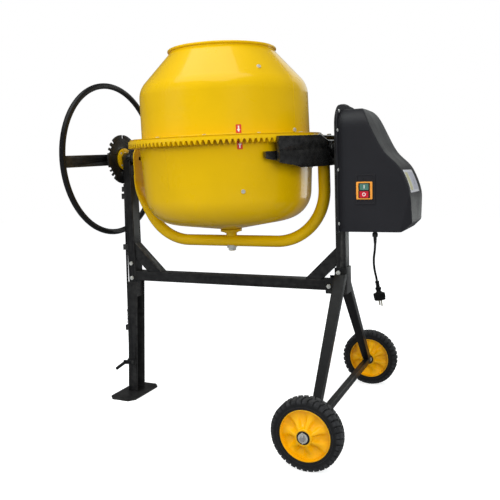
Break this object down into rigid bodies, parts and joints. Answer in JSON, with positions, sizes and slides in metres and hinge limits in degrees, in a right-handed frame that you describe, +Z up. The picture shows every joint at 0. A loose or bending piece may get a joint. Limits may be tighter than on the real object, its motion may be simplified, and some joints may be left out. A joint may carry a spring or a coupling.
{
  "type": "tilting drum concrete mixer",
  "caption": "Portable tilting-drum concrete mixer on a wheeled stand, with a geared drum in a bent yoke, a side handwheel and a boxed electric belt drive.",
  "frame": {"origin": "middle of the machine's footprint, on the ground", "axes": "+X runs along the tilt axis from the handwheel to the drive housing, +Z is up, and -Y is the side where the switch is"},
  "size_m": [1.2173, 0.875, 1.3353],
  "materials": {
    "drum_paint": "gloss",
    "frame_paint": "satin powder coat",
    "zinc": "zinc plated",
    "steel": "ground",
    "cast_iron": "painted black",
    "aluminium": "as cast",
    "housing_plastic": "satin",
    "wheel_plastic": "satin gloss",
    "black_plastic": "satin",
    "switch_plastic": "gloss",
    "on_green": "gloss",
    "off_red": "gloss",
    "tyre": "moulded",
    "rubber": "satin",
    "brass": "nickel plated",
    "label_red": "gloss",
    "label_white": "gloss"
  },
  "bodies": {
    "frame": {"left_post": "frame_paint", "right_post": "frame_paint", "post_bearings": "cast_iron", "crossbar": "frame_paint", "post_braces": "frame_paint", "corner_bracket": "frame_paint", "left_leg": "frame_paint", "stand_bolts": "zinc", "front_wheel_leg": "frame_paint", "rear_wheel_leg": "frame_paint", "axle_tube": "frame_paint", "axle": "steel", "axle_fasteners": "zinc", "rod_guides": "frame_paint", "back_plate": "frame_paint", "drive_cover": "housing_plastic", "cover_screws": "zinc", "motor_body": "aluminium", "motor_plate": "frame_paint", "drive_belt": "rubber", "run_capacitor": "black_plastic", "switch_body": "switch_plastic", "cable_gland": "black_plastic", "power_cord": "rubber", "plug_body": "rubber", "plug_pins": "brass", "blank_label": "label_white"},
    "yoke": {"yoke_tube": "drum_paint", "tilt_tube": "frame_paint", "hub_flange": "drum_paint", "lock_disc": "frame_paint", "handwheel_rim": "frame_paint", "handwheel_bar": "frame_paint", "pinion_block": "cast_iron", "drum_spindle": "drum_paint", "guard_lower": "cast_iron", "guard_upper": "cast_iron", "yoke_bolts": "zinc"},
    "drum": {"lower_drum": "drum_paint", "upper_drum": "drum_paint", "ring_gear": "drum_paint", "drum_hub": "drum_paint", "arrow_labels": "label_red", "mixing_blades": "frame_paint", "drum_bolts": "zinc"},
    "drive": {"pinion": "cast_iron", "drive_shaft": "steel", "large_pulley": "aluminium"},
    "rotor": {"motor_pulley": "steel"},
    "front_wheel": {"front_tyre": "tyre", "front_wheel_disc": "wheel_plastic", "front_wheel_bush": "black_plastic"},
    "rear_wheel": {"rear_tyre": "tyre", "rear_wheel_disc": "wheel_plastic", "rear_wheel_bush": "black_plastic"},
    "pedal": {"foot_pedal": "frame_paint"},
    "latch": {"latch_rod": "frame_paint", "lock_spring": "frame_paint"},
    "on_button": {"on_button": "on_green"},
    "off_button": {"off_button": "off_red"}
  },
  "joints": [
    {"name": "tilt", "type": "hinge", "parent": "frame", "child": "yoke", "pos_m": [0, 0, 0.9532], "axis": [1, 0, 0], "range_deg": [-136, 136]},
    {"name": "drum_spin", "type": "hinge", "parent": "yoke", "child": "drum", "pos_m": [-0.08135, 0, 0.9532], "axis": [0, -0.0358, 0.9994], "continuous": true},
    {"name": "pinion_spin", "type": "hinge", "parent": "yoke", "child": "drive", "pos_m": [0, 0, 0.9532], "axis": [1, 0, 0], "continuous": true},
    {"name": "motor_spin", "type": "hinge", "parent": "frame", "child": "rotor", "pos_m": [0, 0, 0.768], "axis": [1, 0, 0], "continuous": true},
    {"name": "front_wheel_spin", "type": "hinge", "parent": "frame", "child": "front_wheel", "pos_m": [0.35005, -0.391, 0.1115], "axis": [0, 1, 0], "continuous": true},
    {"name": "rear_wheel_spin", "type": "hinge", "parent": "frame", "child": "rear_wheel", "pos_m": [0.35005, 0.391, 0.1115], "axis": [0, 1, 0], "continuous": true},
    {"name": "latch_slide", "type": "slide", "parent": "frame", "child": "latch", "axis": [0.0278, 0, 0.9996], "range_m": [0, 0.012], "deforming": ["lock_spring"]},
    {"name": "pedal_hinge", "type": "hinge", "parent": "frame", "child": "pedal", "pos_m": [-0.52835, 0, 0.131], "axis": [0, 1, 0], "range_deg": [0, 16.8]},
    {"name": "on_press", "type": "slide", "parent": "frame", "child": "on_button", "axis": [0, 1, 0], "range_m": [0, 0.0025], "stiffness_N_per_m": 400},
    {"name": "off_press", "type": "slide", "parent": "frame", "child": "off_button", "axis": [0, 1, 0], "range_m": [0, 0.0025], "stiffness_N_per_m": 400}
  ],
  "couplings": [
    {"joint": "pinion_spin", "follows": "drum_spin", "ratio": -8.5714},
    {"joint": "motor_spin", "follows": "drum_spin", "ratio": -55.714},
    {"joint": "pedal_hinge", "follows": "latch_slide", "rad_per_m": 24.39}
  ]
}
